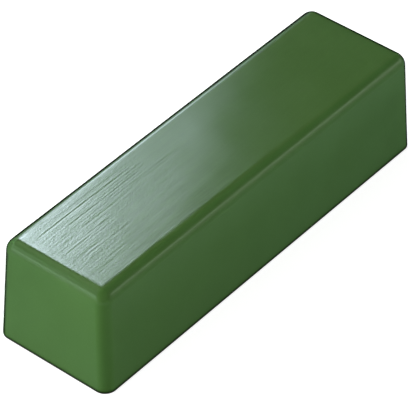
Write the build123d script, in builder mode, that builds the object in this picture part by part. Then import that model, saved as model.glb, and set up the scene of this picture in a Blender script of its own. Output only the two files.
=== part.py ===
from build123d import *
import os

# A cast bar of green honing compound: one solid block of wax and fine
# polishing powder, poured into an open tapered mould and turned out.
# Millimetres.  +X along the bar, +Y across it, +Z up.  The origin is the
# middle of the face the bar rests on, which is the open side of the mould.

# ---- bar ----------------------------------------------------------------
base_length = 86.5        # along X, at the resting face
base_width = 25.0         # along Y, at the resting face
bar_height = 21.6         # resting face to rubbing face
draft_angle = 2.7         # every wall leans in by this much, degrees
corner_radius = 2.3       # four upright corners, and the hollow's in plan
top_edge_radius = 2.6     # edge all round the rubbing face
pour_edge_radius = 0.3    # nearly sharp edge round the resting face

# ---- hollow left in the poured face as the wax shrinks ------------------
sink_depth = 0.45         # at the hollow's flat middle
sink_rim = 3.0            # from the base outline in to the hollow
sink_run = 5.0            # length of the slope from rim to middle, in plan

# the two outlines of the hollow: height above the resting face, and
# inset from the base outline
sink_outlines = [
    (0, sink_rim),
    (sink_depth, sink_rim + sink_run),
]


def make_compound_bar():
    with BuildPart() as bar:
        # tapered block, wide at the poured face and narrow at the mould's floor
        with BuildSketch(Plane.XY):
            Rectangle(base_length, base_width)
        extrude(amount=bar_height, taper=draft_angle)

        # the corners lean with the draft, so they are picked by their rise
        upright_edges = [
            edge
            for edge in bar.edges()
            if edge.bounding_box().size.Z > 0.5 * bar_height
        ]
        fillet(upright_edges, radius=corner_radius)

        # rubbing face, rounded all round by the mould's floor
        rubbing_face = bar.faces().sort_by(Axis.Z)[-1]
        fillet(rubbing_face.edges(), radius=top_edge_radius)

        # the lip of the pour breaks off almost square
        poured_face = bar.faces().sort_by(Axis.Z)[0]
        fillet(poured_face.edges(), radius=pour_edge_radius)

        # shallow shrinkage hollow, cut last so the lip is rounded first
        for height, inset in sink_outlines:
            with BuildSketch(Plane.XY.offset(height)):
                RectangleRounded(
                    base_length - 2 * inset,
                    base_width - 2 * inset,
                    corner_radius,
                )
        loft(mode=Mode.SUBTRACT)

    bar.part.label = "compound_bar"
    return bar.part


os.makedirs("parts", exist_ok=True)
export_step(make_compound_bar(), "parts/compound_bar.step")
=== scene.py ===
import math

import bpy
import numpy as np
from mathutils import Matrix, Vector


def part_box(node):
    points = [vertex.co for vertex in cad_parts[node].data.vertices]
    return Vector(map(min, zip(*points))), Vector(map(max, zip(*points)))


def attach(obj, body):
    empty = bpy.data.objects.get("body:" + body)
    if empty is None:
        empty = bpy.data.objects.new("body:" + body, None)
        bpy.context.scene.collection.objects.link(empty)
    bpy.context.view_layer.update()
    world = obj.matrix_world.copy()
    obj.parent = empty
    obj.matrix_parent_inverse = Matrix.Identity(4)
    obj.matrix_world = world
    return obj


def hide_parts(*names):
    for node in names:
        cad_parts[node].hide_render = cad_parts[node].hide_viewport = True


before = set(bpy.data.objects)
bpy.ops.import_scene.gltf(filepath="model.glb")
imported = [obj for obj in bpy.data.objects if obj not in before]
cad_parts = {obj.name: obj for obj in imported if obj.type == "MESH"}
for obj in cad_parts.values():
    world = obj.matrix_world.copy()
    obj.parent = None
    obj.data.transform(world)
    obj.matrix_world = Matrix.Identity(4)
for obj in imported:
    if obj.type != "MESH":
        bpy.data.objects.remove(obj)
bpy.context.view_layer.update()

MM = 0.001

# ---------------------------------------------------------------------------
# Sizes of the bar, in millimetres; X and Y sizes are half lengths
# ---------------------------------------------------------------------------
box_lo, box_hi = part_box("compound_bar")
FOOT_R = 0.30                    # edge round the resting face
CORNER_R = 2.30                  # upright corners
EDGE_R = 2.60                    # edge all round the top
DRAFT = math.radians(2.7)        # lean of the walls
SIN_DRAFT, COS_DRAFT, TAN_DRAFT = math.sin(DRAFT), math.cos(DRAFT), math.tan(DRAFT)
HEIGHT = (box_hi.z - box_lo.z) / MM
FOOT_SPREAD = FOOT_R * (TAN_DRAFT + 1 / COS_DRAFT - 1)
BASE_X = (box_hi.x - box_lo.x) / MM / 2 + FOOT_SPREAD    # walls carried down to z = 0
BASE_Y = (box_hi.y - box_lo.y) / MM / 2 + FOOT_SPREAD
TOP_INSET = (HEIGHT - EDGE_R) * TAN_DRAFT + EDGE_R / COS_DRAFT
FLAT_X = BASE_X - TOP_INSET                              # flat of the rubbing face
FLAT_Y = BASE_Y - TOP_INSET
MARGIN = 0.45                    # plain border of the rubbing face

WALL_TOP = HEIGHT - EDGE_R + EDGE_R * SIN_DRAFT
WALL_LOW = FOOT_R + FOOT_R * SIN_DRAFT
FOOT_X = BASE_X - WALL_LOW * TAN_DRAFT - CORNER_R * COS_DRAFT
FOOT_Y = BASE_Y - WALL_LOW * TAN_DRAFT - CORNER_R * COS_DRAFT

# stations along the bar, from -1 to 1: closer together at the rubbed end
ALONG = np.concatenate([np.linspace(-1, -0.12, 101), np.linspace(-0.12, 1, 51)[1:]])
SEG_X, SEG_Y, SEG_ARC = len(ALONG) - 1, 48, 14   # along, across, round a corner
FINE = 7                         # the rubbing face is this much finer across

# tilt from level of the surface at each ring of the top edge, in degrees
TILTS = [1.3, 2.6, 3.9, 5.2, 6.5, 8.0, 9.8, 12.0, 15.0, 19.0, 23.5, 28.5, 34.0, 39.5,
         45.0, 50.5, 56.0, 61.5, 67.0, 72.5, 77.5, 82.0, 85.5, 87.3]
# rings down the wall, as shares of its height
DROPS = np.concatenate([[0.012], np.linspace(0.05, 0.95, 21), [0.985]])

# zones of the surface, from the top down
BORDER, RUBBING, EDGE, WALL, FOOT, POURED = range(6)

rng = np.random.default_rng(20611)


def smooth(value, start=0.0, span=1.0):
    """Soft step from 0 to 1, over span from start."""
    share = np.clip((value - start) / span, 0.0, 1.0)
    return share * share * (3 - 2 * share)


def waves(places, wavelengths, seed):
    """Soft unevenness: a sum of plane waves, about -1 to 1."""
    draw = np.random.default_rng(seed)
    total = np.zeros(len(places))
    for wavelength in wavelengths:
        direction = draw.normal(size=3)
        direction = direction / np.linalg.norm(direction)
        total += np.sin(places @ direction * (2 * math.pi / wavelength)
                        + draw.uniform(0, 6.283))
    return total / math.sqrt(len(wavelengths))


# ---------------------------------------------------------------------------
# The bar's mesh: a fine grid on top, rings round the body, a grid below
# ---------------------------------------------------------------------------
class Body:
    """Vertices with their exact normals and zones, and the faces joining them."""

    def __init__(self):
        self.points, self.normals, self.zones, self.faces = [], [], [], []

    def add(self, points, normals, zone):
        """Add vertices and return their numbers."""
        points = np.asarray(points, float)
        start = len(self.points)
        self.points.extend(points)
        self.normals.extend(np.broadcast_to(normals, points.shape))
        self.zones.extend([zone] * len(points))
        return np.arange(start, start + len(points))

    def face(self, *corners):
        self.faces.append([int(corner) for corner in corners])

    def add_grid(self, xs, ys, z, facing, zone):
        """A level grid, facing up (1) or down (-1); returns numbers as [ix, iy]."""
        grid_x, grid_y = np.meshgrid(xs, ys, indexing="ij")
        points = np.stack([grid_x, grid_y, np.full_like(grid_x, z)], axis=-1)
        grid = self.add(points.reshape(-1, 3), (0, 0, facing), zone).reshape(grid_x.shape)
        for i in range(len(xs) - 1):
            for j in range(len(ys) - 1):
                quad = [grid[i, j], grid[i + 1, j], grid[i + 1, j + 1], grid[i, j + 1]]
                self.face(*(quad if facing > 0 else quad[:1] + quad[:0:-1]))
        return grid

    def bridge(self, upper, lower):
        """Faces between two rings, upper above lower, seen from outside."""
        for j in range(len(upper)):
            k = (j + 1) % len(upper)
            quad = [upper[j], lower[j], lower[k], upper[k]]
            corners = [v for i, v in enumerate(quad) if v != quad[i - 1]]
            if len(corners) >= 3:
                self.face(*corners)


def ring_points(half_x, half_y, reach, z, rise):
    """One loop round the bar, counter-clockwise from above: a straight run on
    each side and an arc at each corner. half_x and half_y place the arcs'
    centres, reach is their radius, and rise the angle of the normal above level."""
    xs, ys = half_x * ALONG, np.linspace(-half_y, half_y, SEG_Y + 1)
    cos_rise, sin_rise = math.cos(rise), math.sin(rise)
    # on the top edge the arc's radius differs from the edge's, which lifts the normal
    extra = (EDGE_R - CORNER_R) / EDGE_R if rise > DRAFT + 1e-6 else 0.0
    points, normals = [], []

    def straight(run_x, run_y, out_x, out_y):
        for x, y in zip(*np.broadcast_arrays(run_x, run_y)):
            points.append((x + out_x * reach, y + out_y * reach, z))
            normals.append((out_x * cos_rise, out_y * cos_rise, sin_rise))

    def arc(centre_x, centre_y, start):
        for i in range(1, SEG_ARC):
            angle = start + math.pi / 2 * i / SEG_ARC
            out_x, out_y = math.cos(angle), math.sin(angle)
            points.append((centre_x + reach * out_x, centre_y + reach * out_y, z))
            lift = sin_rise * (1 + extra * (abs(out_x) + abs(out_y) - 1))
            size = math.hypot(cos_rise, lift)
            normals.append((out_x * cos_rise / size, out_y * cos_rise / size, lift / size))

    straight(half_x, ys, 1, 0)
    arc(half_x, half_y, 0)
    straight(xs[::-1], half_y, 0, 1)
    arc(-half_x, half_y, math.pi / 2)
    straight(-half_x, ys[::-1], -1, 0)
    arc(-half_x, -half_y, math.pi)
    straight(xs, -half_y, 0, -1)
    arc(half_x, -half_y, 3 * math.pi / 2)
    return points, normals


def rim_of(grid):
    """The edge of a grid in a ring's vertex order; each corner arc falls on the
    grid's corner."""
    parts = []
    for side in (grid[-1], grid[::-1, -1], grid[0, ::-1], grid[:, 0]):
        parts += [side, np.full(SEG_ARC - 1, side[-1])]
    return np.concatenate(parts)


def body_profile():
    """Arguments of ring_points for every ring, from the top edge down."""
    profile = []
    for tilt in TILTS:
        rise = math.pi / 2 - math.radians(tilt)
        spread = (EDGE_R - CORNER_R) * math.cos(rise)
        profile.append((FLAT_X + spread, FLAT_Y + spread, CORNER_R * math.cos(rise),
                        HEIGHT - EDGE_R + EDGE_R * math.sin(rise), rise))
    corner_reach = CORNER_R * COS_DRAFT
    for drop in DROPS:
        z = WALL_TOP + (WALL_LOW - WALL_TOP) * drop
        profile.append((BASE_X - z * TAN_DRAFT - corner_reach,
                        BASE_Y - z * TAN_DRAFT - corner_reach, corner_reach, z, DRAFT))
    foot_reach = (CORNER_R - FOOT_R) * COS_DRAFT
    for i in range(6):                        # foot edge
        rise = DRAFT + (-math.pi / 2 - DRAFT) * i / 5
        profile.append((FOOT_X, FOOT_Y, foot_reach + FOOT_R * math.cos(rise),
                        FOOT_R + FOOT_R * math.sin(rise), rise))
    for share in (0.92, 0.6, 0.3):            # rim of the poured face
        profile.append((FOOT_X, FOOT_Y, foot_reach * share, 0.0, -math.pi / 2))
    return profile


def add_rubbing_face(body):
    """The fine top grid inside a plain border; returns the border's rim."""
    xs, ys = FLAT_X * ALONG, np.linspace(-FLAT_Y, FLAT_Y, SEG_Y + 1)
    cells = [(i, j) for i in range(SEG_X + 1) for j in range(SEG_Y + 1)
             if i in (0, SEG_X) or j in (0, SEG_Y)]
    numbers = body.add([(xs[i], ys[j], HEIGHT) for i, j in cells], (0, 0, 1), BORDER)
    coarse = np.full((SEG_X + 1, SEG_Y + 1), -1)
    for cell, number in zip(cells, numbers):
        coarse[cell] = number

    fine = body.add_grid((FLAT_X - MARGIN) * ALONG,
                         np.linspace(-FLAT_Y + MARGIN, FLAT_Y - MARGIN, SEG_Y * FINE + 1),
                         HEIGHT, 1, RUBBING)
    for i in range(SEG_X):                    # long borders: one quad each
        body.face(coarse[i, 0], coarse[i + 1, 0], fine[i + 1, 0], fine[i, 0])
        body.face(fine[i, -1], fine[i + 1, -1], coarse[i + 1, -1], coarse[i, -1])
    for end in (0, SEG_X):                    # short borders: fans, coarse to fine
        for j in range(SEG_Y):
            first, second = coarse[end, j], coarse[end, j + 1]
            run = fine[end, j * FINE:(j + 1) * FINE + 1]
            half = len(run) // 2
            fan = [(first, run[k], run[k + 1]) for k in range(half)]
            fan.append((first, run[half], second))
            fan += [(second, run[k], run[k + 1]) for k in range(half, FINE)]
            for triangle in fan:
                body.face(*(triangle if end == 0 else triangle[::-1]))
    return rim_of(coarse)


def build_body():
    body = Body()
    upper = add_rubbing_face(body)
    rings = []
    for station in body_profile():
        z, rise = station[3:]
        zone = EDGE if z > WALL_TOP - 1e-6 else (WALL if rise > 0 else FOOT)
        rings.append(body.add(*ring_points(*station), zone))
    for lower in rings:
        body.bridge(upper, lower)
        upper = lower
    under = body.add_grid(FOOT_X * ALONG, np.linspace(-FOOT_Y, FOOT_Y, SEG_Y + 1),
                          0.0, -1, POURED)
    body.bridge(upper, rim_of(under))
    return body


body = build_body()
points, normals, zone = np.array(body.points), np.array(body.normals), np.array(body.zones)
x, y = points[:, 0], points[:, 1]
upward = np.clip(normals[:, 2], 0, 1)

# ---------------------------------------------------------------------------
# Relief: height along the normal at every vertex, in millimetres
# ---------------------------------------------------------------------------
# soft humps and dishes of the top: centre x, y, spread x, y, height
DISHES = ((-12.0, -5.0, 5.0, 3.0, .020), (4.0, 0.5, 4.0, 2.6, .012),
          (20.0, 5.8, 7.5, 3.0, .034), (0.5, 8.2, 4.0, 2.6, -.026),
          (27.0, -3.0, 6.0, 4.0, -.014), (-25.0, 1.0, 4.5, 3.5, .012))

# the clearest furrows along the bar: centre y, half width, depth, start x, end x
FURROWS = (
    (7.02, .095, .0080, -37.8, -9.0), (7.00, .100, .0022, -33.5, -23.6),
    (6.55, .080, .0035, -32.5, -20.2), (6.00, .085, .0045, -32.0, -23.0),
    (5.50, .080, .0045, -29.0, -23.2), (5.15, .100, .0075, -32.6, -22.8),
    (5.35, .090, .0055, -18.4, -15.6), (3.95, .080, .0030, -36.0, -30.0),
    (3.12, .100, .0065, -31.2, -15.0), (2.62, .100, .0065, -37.5, -33.4),
    (2.20, .080, .0030, -30.0, -24.0), (1.68, .090, .0045, -38.8, -36.0),
    (1.02, .110, .0075, -29.6, -25.4), (1.35, .080, .0040, -29.3, -25.6),
    (0.68, .090, .0060, -38.0, -31.2), (0.20, .080, .0030, -35.0, -29.0),
    (-0.85, .085, .0035, -37.6, -31.0), (-1.35, .100, .0068, -38.0, -31.2),
    (-0.75, .080, .0040, -31.0, -20.6), (-2.10, .085, .0045, -36.4, -32.0),
    (-2.85, .090, .0035, -36.4, -32.2), (-3.25, .100, .0068, -36.7, -31.8),
    (-3.90, .080, .0035, -36.6, -34.4), (-5.20, .090, .0045, -35.0, -28.2),
    (-6.30, .080, .0030, -32.1, -29.0), (8.25, .080, .0040, -38.5, -27.0))
FURROW_WIDEN, FURROW_GAIN = 1.85, 0.72      # applied to every half width and depth

FROST_WAVES, FROST_HEIGHT = 46, 0.00033
BUBBLES = 34
POUR_RIM, POUR_CORNER = 3.0, 5.0            # flat rim, and corner radius inside it


def casting_unevenness():
    """Walls and top are slightly uneven, less so the more they face up."""
    swell = waves(points, (31, 24, 19, 17, 13, 12, 10, 9), seed=11)
    ripple = waves(points, (5.2, 4.6, 4.1, 3.4, 3.0), seed=12)
    gain = np.where(zone == WALL, 1.0, 1.0 - 0.4 * smooth(upward))
    inset = 0.012                           # keeps the swells inside the CAD box
    return (gain * (0.011 * swell + 0.0016 * ripple) - inset) * (zone < FOOT)


def top_dishing():
    """The top falls off a touch along its -Y edge and is dished here and there."""
    lift = -0.009 * smooth(-y, start=4.5, span=4.5)
    for centre_x, centre_y, spread_x, spread_y, high in DISHES:
        distance2 = ((x - centre_x) / spread_x) ** 2 + ((y - centre_y) / spread_y) ** 2
        lift += high * np.exp(-distance2 / 2)
    return np.where(zone <= EDGE, lift * upward ** 3, 0.0)


def edge_fullness():
    """The top edge starts gently on the -X and -Y sides, then tightens; the +Y
    side is a little fuller away from the -X end."""
    past_x = np.maximum(np.abs(x) - FLAT_X, 0.0)
    past_y = np.maximum(np.abs(y) - FLAT_Y, 0.0)
    out = np.hypot(past_x, past_y)

    def roll(past, side, high, peak):
        """A swell as tall as high, where out equals peak."""
        share = (past / np.maximum(out, 1e-9)) ** 2 * side
        return share * high * (out / peak) ** 2 * np.exp(1 - (out / peak) ** 2)

    rolled = roll(past_x, x < 0, high=0.041, peak=0.9) \
        + roll(past_y, y < 0, high=0.050, peak=1.0)
    fuller = 0.045 * smooth(x, start=-34, span=40) * np.clip(normals[:, 1] * 1.25, 0, 1) ** 2
    return np.where(zone == EDGE, rolled, 0.0) \
        + np.where((zone == EDGE) | (zone == WALL), fuller, 0.0)


def edge_droop():
    """The top sinks towards the -X and -Y edges, most at the corner they share."""
    near_corner = smooth(-y, start=2.0, span=6.5)
    droop = 0.0080 * smooth(-x, start=FLAT_X - 0.35, span=0.7) \
        + 0.0065 * smooth(-y, start=FLAT_Y - 0.55, span=1.1) \
        + 0.026 * near_corner * smooth(-x, start=FLAT_X - 0.40)
    return droop * smooth(upward, span=0.625) * (zone <= WALL)


def all_furrows():
    """The table's furrows, then three drawn sets, with the same columns."""
    furrows = list(FURROWS)
    centre = -FLAT_Y + 1.1
    while centre < FLAT_Y - 0.7:            # a comb of long, straight, lesser ones
        limit = -21.5 + 2.1 * centre + (4.0 if centre > 3 else 0.0)
        depth = rng.uniform(.0018, .0046) * (1.2 if centre > 3 else 1.0)
        for part in range(2):
            start = -FLAT_X + 0.4 + abs(rng.normal(0, 0.7)) + part * rng.uniform(6.0, 12.0)
            end = min(start + rng.uniform(8.0, 20.0), limit + rng.normal(0, 2.0))
            if end - start > 1.5:
                furrows.append((centre + rng.normal(0, .01), rng.uniform(.090, .120),
                                depth, start, end))
        centre += rng.uniform(0.48, 0.72)
    later = np.random.default_rng(91)
    for centre in np.arange(3.4, 8.3, 0.56):    # towards +Y they run on to mid-length
        start = later.uniform(-25.0, -17.0)
        furrows.append((centre + later.normal(0, .06), later.uniform(.085, .110),
                        later.uniform(.0030, .0058), start, start + later.uniform(9.0, 17.0)))
    for _ in range(20):                     # sparse, faint ones over the rest
        start = rng.uniform(-FLAT_X + 6, FLAT_X - 18)
        furrows.append((rng.uniform(-FLAT_Y + .8, FLAT_Y - .8), rng.uniform(.06, .09),
                        rng.uniform(.0003, .0008), start, start + rng.uniform(6, 20)))
    return furrows


def rubbing_streaks():
    """Short fine furrows along the bar, crowded at the -X end: each is a groove
    with a raised lip on its +Y side."""
    cut = np.zeros(len(points))
    for centre, width, depth, start, end in all_furrows():
        width = FURROW_WIDEN * width
        wander = 0.003 * np.sin((x - start) * 0.3 + centre * 3)
        across = (y - (centre + wander)) / width
        along = smooth(x, start=start, span=0.9) \
            * smooth(end - x, span=max(1.0, .35 * (end - start)))
        # slow, then quick, changes of depth along the furrow
        along = along * (0.80 + 0.20 * np.sin(x * 3.1 + centre * 5)
                         * np.sin(x * 1.13 + centre * 2))
        along = along * (1 + 0.35 * np.sin(x * 6.0 + centre * 17
                                           + 1.5 * np.sin(x * 0.7 + centre)))
        cut += FURROW_GAIN * depth * along * across * np.exp(0.5 - across ** 2 / 2)
    return cut


def frosting():
    """Shallow grains all over the rubbed end, drawn out along the bar."""
    draw = np.random.default_rng(77)
    grains = np.zeros(len(points))
    for _ in range(FROST_WAVES):
        length, width = draw.choice((-1, 1)) * draw.uniform(1.3, 3.6), draw.uniform(0.36, 0.90)
        phase = draw.uniform(0, 6.283)
        grains += np.sin((x / length + y / width) * 2 * math.pi + phase) * width
    grains /= math.sqrt(FROST_WAVES)
    # the worn patch fades from the -X end and reaches further towards +Y
    spread = 11.0 + 0.95 * (y + 3.0).clip(-4, 12)
    worn = np.exp(-np.maximum(x + 36.0, 0.0) ** 2 / (2 * spread ** 2))
    worn = worn * (0.62 + 0.38 * smooth(y, start=-7.0, span=11.0))
    worn = worn * (1.0 + 1.8 * smooth(x, start=-24.0, span=10.0)
                   * smooth(y, start=3.5, span=3.0))
    return FROST_HEIGHT * grains * worn


def pour_hollow():
    """Depth of the poured face: a shrinkage hollow inside a flat rim, with faint
    set ripples and burst air bubbles."""
    rim_x, rim_y = BASE_X - POUR_RIM - np.abs(x), BASE_Y - POUR_RIM - np.abs(y)
    rounded = POUR_CORNER - np.hypot(POUR_CORNER - np.clip(rim_x, None, POUR_CORNER),
                                     POUR_CORNER - np.clip(rim_y, None, POUR_CORNER))
    in_corner = (rim_x < POUR_CORNER) & (rim_y < POUR_CORNER)
    hollow = smooth(np.where(in_corner, rounded, np.minimum(rim_x, rim_y)), span=6.5)
    pour = 0.45 * hollow + hollow * (0.035 * waves(points, (22, 15, 11, 8, 7), seed=21)
                                     + 0.010 * waves(points, (3.1, 2.6, 2.2, 1.9), seed=22))
    for _ in range(BUBBLES):
        centre_x = rng.uniform(-FLAT_X + 3, FLAT_X - 3)
        centre_y = rng.uniform(-FLAT_Y + 2.0, FLAT_Y - 2.0)
        radius, depth = rng.uniform(.35, .95), rng.uniform(.05, .22)
        distance2 = ((x - centre_x) ** 2 + (y - centre_y) ** 2) / radius ** 2
        lip = 0.16 * depth * np.exp(-(np.sqrt(distance2) - 1.5) ** 2 * 6)
        pour += depth * np.exp(-distance2 * 1.6) - lip
    return np.where(zone == POURED, np.maximum(pour, 0.0), 0.0)


relief = casting_unevenness() + top_dishing() + edge_fullness() - edge_droop()
edge_fade = smooth(FLAT_X - MARGIN - np.abs(x), span=0.5) \
    * smooth(FLAT_Y - MARGIN - np.abs(y), span=0.25)
relief += np.where(zone == RUBBING, (rubbing_streaks() + frosting()) * edge_fade, 0.0)
relief -= pour_hollow()


def new_mesh(name, places):
    mesh = bpy.data.meshes.new(name)
    mesh.from_pydata((places * MM).tolist(), [], body.faces)
    return mesh


def vertex_normals(mesh):
    values = np.zeros(len(mesh.vertices) * 3, np.float32)
    mesh.vertices.foreach_get("normal", values)
    return values.reshape(-1, 3)


flat_mesh = new_mesh("flat", points)
flat_normals = vertex_normals(flat_mesh)

bar_mesh = new_mesh("compound_bar_cast", points + normals * relief[:, None])
bar_mesh.validate()
bar_mesh.update()
# exact normals of the plain body plus the tilt the relief adds
shading = normals + (vertex_normals(bar_mesh) - flat_normals)
shading /= np.linalg.norm(shading, axis=1)[:, None]
bpy.data.meshes.remove(flat_mesh)
for polygon in bar_mesh.polygons:
    polygon.use_smooth = True
bar_mesh.normals_split_custom_set_from_vertices(shading.tolist())

bar = bpy.data.objects.new("compound_bar_cast", bar_mesh)
bpy.context.scene.collection.objects.link(bar)


# ---------------------------------------------------------------------------
# Short calls for making and joining shader nodes
# ---------------------------------------------------------------------------
class Tree:
    """The emptied node tree of a material, world or light."""

    def __init__(self, owner):
        owner.use_nodes = True
        self.tree = owner.node_tree
        self.tree.nodes.clear()

    def node(self, kind, inputs={}, **settings):
        """A new node; inputs maps each socket to a value, or to a socket to link."""
        made = self.tree.nodes.new("ShaderNode" + kind)
        for key, value in settings.items():
            setattr(made, key, value)
        for key, value in inputs.items():
            if isinstance(value, bpy.types.NodeSocket):
                self.tree.links.new(value, made.inputs[key])
            else:
                made.inputs[key].default_value = value
        return made

    def single(self, operation, value):
        return self.node("Math", {0: value}, operation=operation).outputs[0]

    def math(self, operation, first, *rest):
        """Apply a two-value operation to all the values in turn."""
        for value in rest:
            first = self.node("Math", {0: first, 1: value}, operation=operation).outputs[0]
        return first

    def add(self, *values):
        return self.math("ADD", *values)

    def multiply(self, *values):
        return self.math("MULTIPLY", *values)

    def subtract(self, value, taken):
        return self.math("SUBTRACT", value, taken)

    def ramp(self, value, over, to=(0.0, 1.0)):
        """Soft ramp between the two values of to, while value crosses over."""
        limits = zip(("From Min", "From Max", "To Min", "To Max"), (*over, *to))
        return self.node("MapRange", {"Value": value, **dict(limits)},
                         interpolation_type="SMOOTHSTEP").outputs["Result"]

    def noise(self, coords, scale=1.0, detail=2.0, rough=0.5, stretch=(1, 1, 1),
              offset=(0, 0, 0)):
        placed = self.node("Mapping", {"Scale": stretch, "Location": offset,
                                       "Vector": coords}).outputs["Vector"]
        return self.node("TexNoise", {"Scale": scale, "Detail": detail, "Roughness": rough,
                                      "Vector": placed}).outputs["Fac"]

    def mix_colour(self, share, first, second, mode="MIX"):
        return self.node("Mix", {0: share, 6: first, 7: second},
                         data_type="RGBA", blend_type=mode).outputs[2]

    def mix_value(self, share, first, second):
        return self.node("Mix", {0: share, 2: first, 3: second},
                         data_type="FLOAT").outputs[0]

    def mix_shader(self, share, first, second):
        return self.node("MixShader", {0: share, 1: first, 2: second}).outputs[0]

    def dot(self, first, second):
        return self.node("VectorMath", {0: first, 1: second},
                         operation="DOT_PRODUCT").outputs["Value"]

    def split(self, vector):
        return self.node("SeparateXYZ", {0: vector}).outputs


# ---------------------------------------------------------------------------
# Material: opaque green abrasive wax
# ---------------------------------------------------------------------------
GREEN = (0.0684, 0.1720, 0.0360)


def tinted(*gains):
    return (*(base * gain for base, gain in zip(GREEN, gains)), 1)


def compound_material():
    material = bpy.data.materials.new("green_compound")
    tree = Tree(material)
    add, multiply, subtract, ramp = tree.add, tree.multiply, tree.subtract, tree.ramp
    noise, mix_colour = tree.noise, tree.mix_colour

    where = tree.node("TexCoord").outputs["Object"]
    place_x, place_y, place_z = tree.split(where)
    geometry = tree.node("NewGeometry").outputs
    normal_x, normal_y, normal_z = tree.split(geometry["Normal"])

    top = ramp(normal_z, over=(0.93, 0.995))
    # how rubbed the face is: full at the -X end, faint from the middle on
    rubbed = multiply(ramp(place_x, over=(-0.024, 0.006), to=(1.0, 0.12)), top)

    mottle = noise(where, scale=95.0, detail=3.0, rough=0.55)
    cloud = noise(where, scale=34.0, offset=(3.1, 1.7, 0.4))
    powder = noise(where, scale=2600.0, rough=0.6)
    hair = noise(where, rough=0.6, stretch=(170.0, 2300.0, 400.0))
    hair_wide = noise(where, stretch=(60.0, 1100.0, 200.0), offset=(0.3, 7.7, 0))
    grain = noise(where, rough=0.7, stretch=(1700.0, 3000.0, 2600.0),
                  offset=(0.11, 0.23, 0.05))
    frost = ramp(place_y, over=(-0.009, 0.006), to=(0.45, 1.0))

    # mottled, clouded and powdered green
    colour = mix_colour(ramp(mottle, over=(0.35, 0.65)),
                        tinted(0.96, 0.97, 0.95), tinted(1.04, 1.03, 1.06))
    colour = mix_colour(multiply(ramp(cloud, over=(0.35, 0.7)), 0.5),
                        colour, tinted(1.06, 1.0, 0.92))
    colour = mix_colour(multiply(ramp(powder, over=(0.5, 0.8)), 0.18),
                        colour, tinted(1.5, 1.25, 1.6))
    colour = mix_colour(top, colour,
                        mix_colour(1.0, colour, (1.15, 0.985, 1.12, 1), mode="MULTIPLY"))

    # painted shade: the rounded edges are darkened in the colour where they turn away from the
    # viewer
    facing = tree.dot(geometry["Normal"], geometry["Incoming"])
    flatness = tree.math("MAXIMUM", tree.single("ABSOLUTE", normal_x),
                         tree.single("ABSOLUTE", normal_y), normal_z)
    rounded = ramp(flatness, over=(0.965, 0.995), to=(1.0, 0.0))
    upright = multiply(tree.single("ABSOLUTE", multiply(normal_x, normal_y)), 2.0)
    turn = multiply(ramp(facing, over=(0.24, 0.54), to=(0.90, 0.0)), rounded,
                    subtract(1.0, multiply(upright, 0.35)))
    # painted shade: the upright corners are darkened in the colour all the way down
    painted_corner_shade = multiply(tree.math("POWER", upright, 2.1), 0.21)
    # painted shade: the foot of the walls is darkened in the colour, where a contact shadow
    # falls, but not the face underneath
    foot = multiply(ramp(place_z, over=(0.0001, 0.0009), to=(0.90, 0.0)),
                    ramp(normal_z, over=(-0.60, -0.10)))
    # rubbing leaves faint lighter and darker lines in the colour itself
    lines = ramp(hair, over=(0.32, 0.68), to=(-1.0, 1.0))
    lines = add(1.0, multiply(lines, rubbed, 0.10))
    # painted shade of the edges, foot and corners, times the rubbing lines, darkens the colour
    painted_shade_and_lines = multiply(subtract(1.0, turn), subtract(1.0, foot),
                     subtract(1.0, painted_corner_shade), lines)
    grey = tree.node("CombineColor", {0: painted_shade_and_lines, 1: painted_shade_and_lines, 2: painted_shade_and_lines}).outputs[0]
    colour = mix_colour(1.0, colour, grey, mode="MULTIPLY")

    top_rough = add(0.125, multiply(rubbed, multiply(ramp(hair, over=(0.35, 0.75)), 0.10)))
    side_rough = add(0.22, multiply(ramp(mottle, over=(0.3, 0.7), to=(-1.0, 1.0)), 0.03))
    # the upright corners are duller than the faces
    corner_specular = subtract(0.5, multiply(upright, 0.40))

    # bump heights, in metres
    height = add(multiply(powder, 0.0000016),
                 multiply(hair, rubbed, 0.0000060),
                 multiply(hair_wide, rubbed, 0.0000080),
                 multiply(grain, frost, rubbed, 0.0000130))
    bump = tree.node("Bump", {"Strength": 1.0, "Distance": 1.0, "Height": height})

    wax = tree.node("BsdfPrincipled", {
        "Base Color": colour,
        "Roughness": tree.mix_value(top, side_rough, top_rough),
        "IOR": 1.5,
        "Specular IOR Level": tree.mix_value(ramp(normal_z, over=(0.15, 0.45)),
                                             corner_specular, 0.5),
        "Normal": bump.outputs["Normal"]})
    tree.node("OutputMaterial", {"Surface": wax.outputs["BSDF"]})
    return material


compound = compound_material()
bar_mesh.materials.append(compound)

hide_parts("compound_bar")
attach(bar, "root")

# the CAD node keeps the same finish, should it ever be shown
cad_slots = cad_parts["compound_bar"].data.materials
for i in range(len(cad_slots)):
    cad_slots[i] = compound
if len(cad_slots) == 0:
    cad_slots.append(compound)


# ---------------------------------------------------------------------------
# Camera
# ---------------------------------------------------------------------------
def placed(x_axis, y_axis, z_axis, at):
    """Matrix of an object with these axes at this place."""
    return Matrix([*zip(x_axis, y_axis, z_axis, at), (0, 0, 0, 1)])


AZIMUTH, ELEVATION, ROLL = (math.radians(angle) for angle in (-50.698, 41.461, 0.264))
# centre of the bar's base in the camera's axes, mm: right, down and away
BASE_RIGHT, BASE_DOWN, BASE_AWAY = 0.374, 6.029, 560.068

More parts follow.
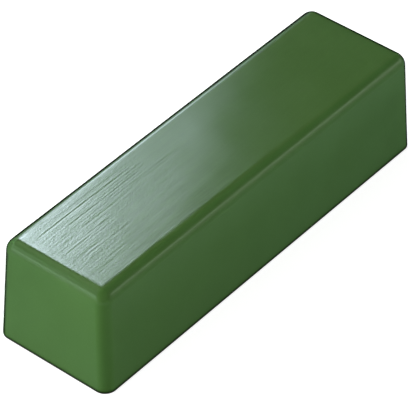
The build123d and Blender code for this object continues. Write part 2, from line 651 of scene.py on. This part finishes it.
back = Vector((math.sin(AZIMUTH) * math.cos(ELEVATION),
               -math.cos(AZIMUTH) * math.cos(ELEVATION), math.sin(ELEVATION)))
right = (-back).cross(Vector((0, 0, 1))).normalized()
up = right.cross(-back)
right, up = (math.cos(ROLL) * right + math.sin(ROLL) * up,
             -math.sin(ROLL) * right + math.cos(ROLL) * up)
camera_data = bpy.data.cameras.new("camera")
camera_data.sensor_width = 36.0
camera_data.lens = 267.985714
camera_data.clip_start, camera_data.clip_end = 0.01, 50.0
camera = bpy.data.objects.new("camera", camera_data)
camera.matrix_world = placed(
    right, up, back, -(right * BASE_RIGHT - up * BASE_DOWN - back * BASE_AWAY) * MM)
bpy.context.scene.collection.objects.link(camera)
bpy.context.scene.camera = camera

# ---------------------------------------------------------------------------
# Floor and world
# ---------------------------------------------------------------------------
FLOOR_HALF = 4.0
FLOOR_GAP = 0.00002              # below the bar
WHITE = (1, 1, 1, 1)


def floor_material():
    """Pale to the camera; in reflections it is pale off the bar's -X and -Y
    sides and dark behind it."""
    material = bpy.data.materials.new("pale_floor")
    tree = Tree(material)
    add, multiply, subtract, ramp = tree.add, tree.multiply, tree.subtract, tree.ramp
    place_x, place_y, _ = tree.split(tree.node("NewGeometry").outputs["Position"])

    def pale_strip(axis, side, sideways, steps):
        """Reflected strength off the bar's low side along axis; each step is a
        range of distances and the strength gained over it."""
        out = subtract(multiply(axis, -1.0), -side)
        strength = add(*(ramp(out, over=over, to=(0.0, gain)) for over, gain in steps))
        wide = ramp(tree.single("ABSOLUTE", sideways), over=(0.23, 0.27), to=(1.0, 0.0))
        return multiply(strength, wide, ramp(out, over=(0.5, 0.7), to=(1.0, 0.0)))

    pale_x = pale_strip(place_x, box_lo.x, place_y,
                        (((0.0, 0.001), 0.50), ((0.016, 0.032), 0.26)))
    pale_y = pale_strip(place_y, box_lo.y, place_x,
                        (((0.0, 0.001), 0.22), ((0.008, 0.020), 0.25),
                         ((0.045, 0.085), -0.05)))
    mirrored = tree.node("Emission", {"Color": (0.65, 1.0, 0.71, 1),
                                      "Strength": add(pale_x, pale_y)})

    # a thin contact shadow round the foot: distance to the bar's rounded outline
    def past_corner(axis, half):
        inner = subtract(tree.single("ABSOLUTE", axis), half - CORNER_R * MM)
        return tree.math("MAXIMUM", inner, 0.0)

    near_x, near_y = past_corner(place_x, box_hi.x), past_corner(place_y, box_hi.y)
    distance = tree.single("SQRT", add(multiply(near_x, near_x), multiply(near_y, near_y)))
    distance = subtract(distance, CORNER_R * MM)
    contact = ramp(distance, over=(-0.00006, 0.00004), to=(0.04, 1.0))
    # far from the bar the lit surface gives way to plain glow
    far = ramp(distance, over=(0.15, 0.60))
    glow = tree.node("Emission", {
        "Color": WHITE, "Strength": multiply(contact, add(multiply(far, 0.20), 0.78))})
    tone = tree.node("CombineColor", {
        channel: multiply(contact, subtract(0.80, multiply(far, 0.80)))
        for channel in range(3)})
    lit = tree.node("BsdfDiffuse", {"Color": tone.outputs[0]})
    seen = tree.node("AddShader", {0: lit.outputs[0], 1: glow.outputs[0]})
    bounce = tree.node("BsdfDiffuse", {"Color": (0.70, 0.70, 0.70, 1)})

    ray = tree.node("LightPath").outputs
    unseen = tree.mix_shader(ray["Is Glossy Ray"], bounce.outputs[0], mirrored.outputs[0])
    tree.node("OutputMaterial", {
        "Surface": tree.mix_shader(ray["Is Camera Ray"], unseen, seen.outputs[0])})
    return material


floor_mesh = bpy.data.meshes.new("floor")
floor_mesh.from_pydata([(i * FLOOR_HALF, j * FLOOR_HALF, 0)
                        for i, j in ((-1, -1), (1, -1), (1, 1), (-1, 1))],
                       [], [(0, 1, 2, 3)])
floor = bpy.data.objects.new("floor", floor_mesh)
floor.location.z = box_lo.z - FLOOR_GAP
bpy.context.scene.collection.objects.link(floor)
floor_mesh.materials.append(floor_material())


def build_world():
    """Near white to the camera, a soft fill, and almost dark in reflections."""
    world = bpy.data.worlds.new("studio")
    bpy.context.scene.world = world
    tree = Tree(world)

    def background(colour, strength):
        return tree.node("Background", {"Color": colour, "Strength": strength}).outputs[0]

    ray = tree.node("LightPath").outputs
    unseen = tree.mix_shader(ray["Is Glossy Ray"], background(WHITE, strength=0.186),
                             background(WHITE, strength=0.05))
    surface = tree.mix_shader(ray["Is Camera Ray"], unseen,
                              background((0.98, 0.98, 0.98, 1), strength=1.0))
    tree.node("OutputWorld", {"Surface": surface})


build_world()
bpy.context.scene.view_settings.view_transform = "Standard"


# ---------------------------------------------------------------------------
# Lights
# ---------------------------------------------------------------------------
def panel(name, at, aim, width, height, radiance, colour=(1, 1, 1), glossy=True,
          diffuse=True):
    """A flat softbox facing a point; radiance is what a mirror would show."""
    light = bpy.data.lights.new(name, "AREA")
    light.shape, light.size, light.size_y = "RECTANGLE", width, height
    light.energy, light.color = radiance * math.pi * width * height, colour
    lamp = bpy.data.objects.new(name, light)
    z_axis = (Vector(at) - Vector(aim)).normalized()
    x_axis = Vector((0, 0, 1)).cross(z_axis).normalized()
    lamp.matrix_world = placed(x_axis, z_axis.cross(x_axis), z_axis, at)
    lamp.visible_camera = False
    lamp.visible_glossy = glossy
    lamp.visible_diffuse = diffuse
    bpy.context.scene.collection.objects.link(lamp)
    return lamp


def around(azimuth, elevation, distance):
    turn, rise = math.radians(azimuth), math.radians(elevation)
    return (distance * math.cos(rise) * math.cos(turn),
            distance * math.cos(rise) * math.sin(turn), distance * math.sin(rise))


# soft wrap of light that gives colour but never shows as a reflection, keyed by
# elevation: (panel side, ((azimuth, radiance), ...))
WRAP = {10: (0.22, ((120, 0.45), (150, 5.70), (180, 1.55), (210, 2.95), (240, 0.74),
                    (270, 0.27), (300, 0.75), (330, 0.83))),
        32: (0.26, ((120, 1.30), (150, 2.71), (210, 0.75), (240, 0.64),
                    (270, 0.76), (300, 1.04))),
        58: (0.30, ((135, 0.95), (225, 0.13)))}
WRAP_DISTANCE, WRAP_AIM_Z = 0.65, 0.012
for elevation, (side, row) in WRAP.items():
    for azimuth, radiance in row:
        lamp_x, lamp_y, lamp_z = around(azimuth, elevation, WRAP_DISTANCE)
        panel("wrap_%d_%d" % (elevation, azimuth), (lamp_x, lamp_y, lamp_z + WRAP_AIM_Z),
              (0, 0, WRAP_AIM_Z), side, side, radiance, glossy=False)

# a small fill close to the -X face, on its -Y half
FILL_Y = -0.0085
panel("fill_end", at=(box_lo.x - 0.0150, FILL_Y, 0.0200), aim=(box_lo.x, FILL_Y, 0.0185),
      width=0.006, height=0.006, radiance=2.3, glossy=False)

# cards far off that only show as sheen on the rounded edges:
# azimuth, low and high elevation, radiance
CARDS = ((70, 0, 18, 0.63), (70, 25, 40, 1.94), (90, 0, 32, 0.47), (110, 0, 32, 0.47),
         (90, 32, 40, 1.80), (110, 32, 40, 1.80), (130, 0, 12, 0.62), (130, 12, 25, 1.10),
         (130, 25, 40, 2.16), (150, 0, 8, 1.51), (150, 8, 12, 0.68), (150, 12, 25, 2.51),
         (170, 0, 25, 0.74), (290, 0, 12, 0.42), (310, 0, 12, 0.67), (310, 12, 18, 0.76),
         (310, 18, 25, 2.30), (330, 0, 8, 0.27), (330, 8, 25, 1.70),
         (85, 48, 66, 0.38), (105, 48, 66, 0.40), (125, 48, 62, 0.42))
CARD_DISTANCE, CARD_SPAN = 3.0, 20           # metres, degrees of azimuth
# colours of most cards, of those past azimuth 300, and of the high ones
SHEEN, SHEEN_LATE, NEUTRAL = (0.65, 1.0, 0.71), (0.82, 1.0, 0.74), (0.95, 1.0, 0.90)


def card_size(degrees):
    return 2 * CARD_DISTANCE * math.tan(math.radians(degrees / 2))


for n, (azimuth, low, high, radiance) in enumerate(CARDS):
    colour = NEUTRAL if low >= 45 else (SHEEN_LATE if azimuth > 300 else SHEEN)
    panel("card_%02d" % n, around(azimuth, (low + high) / 2, CARD_DISTANCE), (0, 0, 0),
          card_size(CARD_SPAN), card_size(high - low), radiance, colour, diffuse=False)

# the bright window that the top reflects: an upright panel across from the camera
WINDOW_AWAY, WINDOW_ASIDE, WINDOW_Z = 0.50, 0.07, 0.35
# its soft spots of brightness: across, height, spread across, spread up, gain
SPOTS = ((-0.1104, 0.4910, 0.0393, 0.0787, 19.12), (-0.1598, 0.6364, 0.0321, 0.2780, 3.68),
         (-0.1306, 0.2425, 0.0289, 0.0472, 10.07), (-0.0214, 0.4432, 0.0116, 0.0526, 3.20))


def build_window():
    away = Vector((-math.sin(AZIMUTH), math.cos(AZIMUTH), 0))
    across = Vector((away.y, -away.x, 0))
    middle = away * WINDOW_AWAY - across * WINDOW_ASIDE
    window = panel("window", at=(middle.x, middle.y, WINDOW_Z),
                   aim=(middle.x - away.x, middle.y - away.y, WINDOW_Z),
                   width=0.34, height=0.62, radiance=1.065, colour=(0.835, 1.0, 1.10))
    tree = Tree(window.data)
    position = tree.node("NewGeometry").outputs["Position"]
    place_across = tree.dot(position, across)
    place_z = tree.split(position)[2]

    def squared_offset(place, centre, spread):
        offset = tree.math("DIVIDE", tree.subtract(place, centre), spread)
        return tree.multiply(offset, offset)

    brightness = 0.0
    for spot_across, spot_z, spread_across, spread_z, gain in SPOTS:
        distance2 = tree.add(squared_offset(place_across, spot_across, spread_across),
                             squared_offset(place_z, spot_z, spread_z))
        bell = tree.single("EXPONENT", tree.multiply(distance2, -0.5))
        brightness = tree.add(tree.multiply(bell, gain), brightness)
    glow = tree.node("Emission", {"Strength": brightness})
    tree.node("OutputLight", {"Surface": glow.outputs[0]})


build_window()
